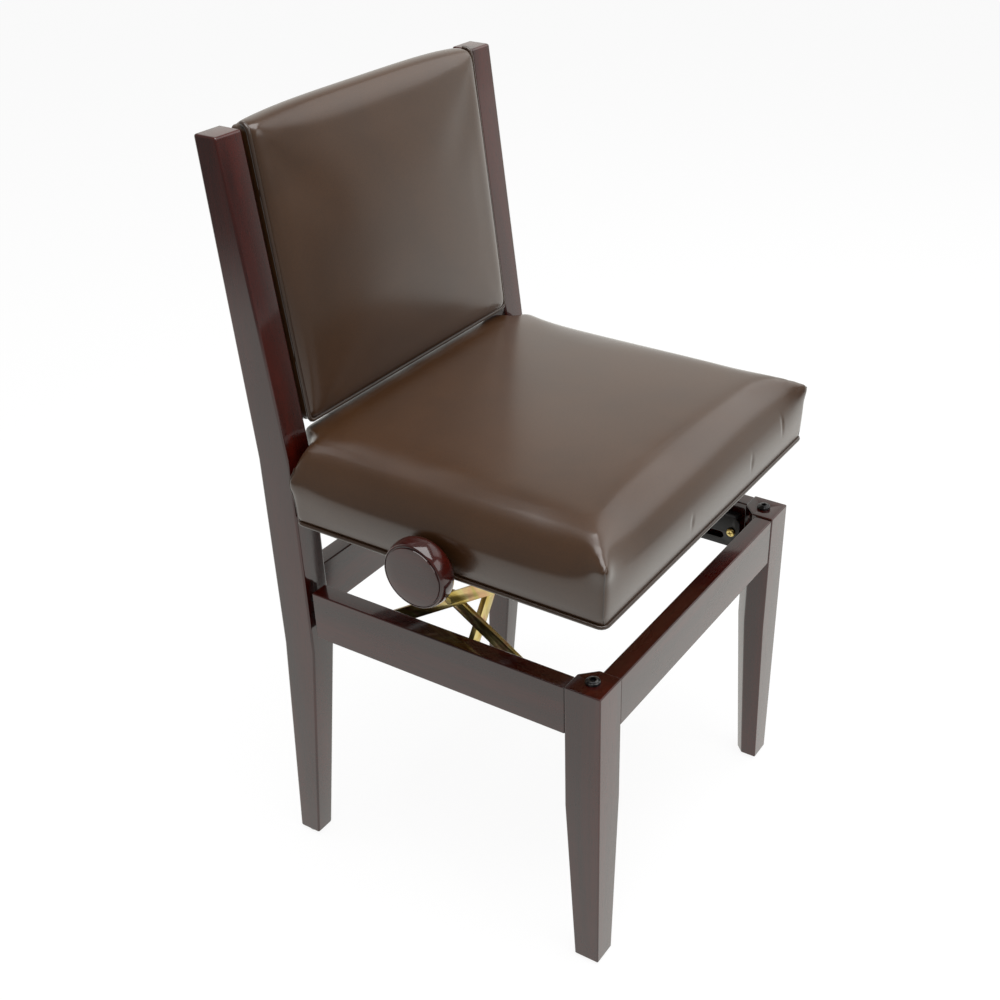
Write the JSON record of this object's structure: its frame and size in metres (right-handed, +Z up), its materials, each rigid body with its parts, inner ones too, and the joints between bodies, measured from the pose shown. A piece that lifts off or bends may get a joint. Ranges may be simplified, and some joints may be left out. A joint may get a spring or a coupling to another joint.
{
  "type": "piano chair",
  "caption": "Dark wooden piano chair with a padded back and a boxed, padded seat that a side knob raises on a scissor lift.",
  "frame": {"origin": "middle of the chair's footprint box, on the floor", "axes": "+Z up, the chair faces -Y, the sitter's right and the knob are on -X"},
  "size_m": [0.477, 0.4353, 0.845],
  "materials": {
    "mahogany_lacquer": "satin-gloss dark lacquer",
    "brown_leatherette": "satin, fine grain",
    "plywood": "raw",
    "black_steel": "satin black paint",
    "yellow_zinc": "yellow passivated zinc",
    "bright_steel": "bright drawn steel",
    "black_nylon": "matte"
  },
  "bodies": {
    "chair_frame": {"front_rail": "mahogany_lacquer", "rear_rail": "mahogany_lacquer", "back_cushion": "brown_leatherette", "back_piping": "brown_leatherette", "back_board": "plywood", "back_rear_panel": "brown_leatherette", "back_rod_lower": "black_steel", "back_rod_upper": "black_steel", "front_leg_right": "mahogany_lacquer", "leg_bolt_right": "black_steel", "rear_post_right": "mahogany_lacquer", "side_rail_right": "mahogany_lacquer", "side_rail_bolt_right": "black_steel", "glide_front_right": "black_nylon", "glide_rear_right": "black_nylon", "base_channel_right": "black_steel", "channel_bolt_front_right": "yellow_zinc", "channel_bolt_rear_right": "yellow_zinc", "jack_bracket_right": "black_steel", "front_leg_left": "mahogany_lacquer", "leg_bolt_left": "black_steel", "rear_post_left": "mahogany_lacquer", "side_rail_left": "mahogany_lacquer", "side_rail_bolt_left": "black_steel", "glide_front_left": "black_nylon", "glide_rear_left": "black_nylon", "base_channel_left": "black_steel", "channel_bolt_front_left": "yellow_zinc", "channel_bolt_rear_left": "yellow_zinc", "jack_bracket_left": "black_steel"},
    "outer_arms": {"front_slide_shaft": "bright_steel", "outer_arm_right": "yellow_zinc", "base_pivot_pin_right": "yellow_zinc", "centre_pin_right": "yellow_zinc", "outer_arm_left": "yellow_zinc", "base_pivot_pin_left": "yellow_zinc", "centre_pin_left": "yellow_zinc"},
    "inner_arms": {"rear_pivot_shaft": "bright_steel", "inner_arm_right": "yellow_zinc", "roller_pin_right": "yellow_zinc", "inner_arm_left": "yellow_zinc", "roller_pin_left": "yellow_zinc"},
    "seat": {"seat_board": "plywood", "seat_cushion": "brown_leatherette", "seat_piping": "brown_leatherette", "seat_frame_front": "mahogany_lacquer", "seat_frame_rear": "mahogany_lacquer", "seat_frame_right": "mahogany_lacquer", "seat_frame_left": "mahogany_lacquer", "upper_channel_right": "black_steel", "upper_channel_left": "black_steel", "screw_bush": "bright_steel", "screw_end_bearing": "bright_steel"},
    "lift_screw": {"lift_screw": "bright_steel", "knob": "mahogany_lacquer"},
    "jack_link_right": {"jack_link_right": "yellow_zinc"},
    "jack_link_left": {"jack_link_left": "yellow_zinc"},
    "jack_nut_right": {"jack_nut_right": "bright_steel"},
    "jack_nut_left": {"jack_nut_left": "bright_steel"}
  },
  "joints": [
    {"name": "scissor_fold", "type": "hinge", "parent": "chair_frame", "child": "outer_arms", "pos_m": [0.016, 0.09405, 0.325], "axis": [-1, 0, 0], "range_deg": [-18, 0.5]},
    {"name": "scissor_cross", "type": "hinge", "parent": "outer_arms", "child": "inner_arms", "pos_m": [0.016, -0.00755, 0.391], "axis": [-1, 0, 0], "range_deg": [-1, 36]},
    {"name": "seat_level", "type": "hinge", "parent": "inner_arms", "child": "seat", "pos_m": [0.016, 0.09405, 0.457], "axis": [-1, 0, 0], "range_deg": [-18, 0.5]},
    {"name": "jack_link_right_pivot", "type": "hinge", "parent": "chair_frame", "child": "jack_link_right", "pos_m": [-0.152, -0.02425, 0.326], "axis": [0, -1, 0], "range_deg": [-34.6, 1]},
    {"name": "jack_nut_right_pivot", "type": "hinge", "parent": "jack_link_right", "child": "jack_nut_right", "pos_m": [-0.0648, -0.02425, 0.447], "axis": [0, -1, 0], "range_deg": [-1, 34.6]},
    {"name": "jack_link_left_pivot", "type": "hinge", "parent": "chair_frame", "child": "jack_link_left", "pos_m": [0.184, -0.02425, 0.326], "axis": [0, 1, 0], "range_deg": [-34.6, 1]},
    {"name": "jack_nut_left_pivot", "type": "hinge", "parent": "jack_link_left", "child": "jack_nut_left", "pos_m": [0.0968, -0.02425, 0.447], "axis": [0, 1, 0], "range_deg": [-1, 34.6]},
    {"name": "knob_turn", "type": "hinge", "parent": "seat", "child": "lift_screw", "pos_m": [0.016, -0.02425, 0.467], "axis": [1, 0, 0], "range_deg": [-3780, 105]}
  ],
  "couplings": [
    {"joint": "scissor_cross", "follows": "scissor_fold", "ratio": -2},
    {"joint": "seat_level", "follows": "scissor_fold", "ratio": 1},
    {"joint": "jack_link_right_pivot", "follows": "scissor_fold", "ratio": 1.92},
    {"joint": "jack_nut_right_pivot", "follows": "scissor_fold", "ratio": -1.92},
    {"joint": "jack_link_left_pivot", "follows": "scissor_fold", "ratio": 1.92},
    {"joint": "jack_nut_left_pivot", "follows": "scissor_fold", "ratio": -1.92},
    {"joint": "knob_turn", "follows": "scissor_fold", "ratio": 210}
  ]
}
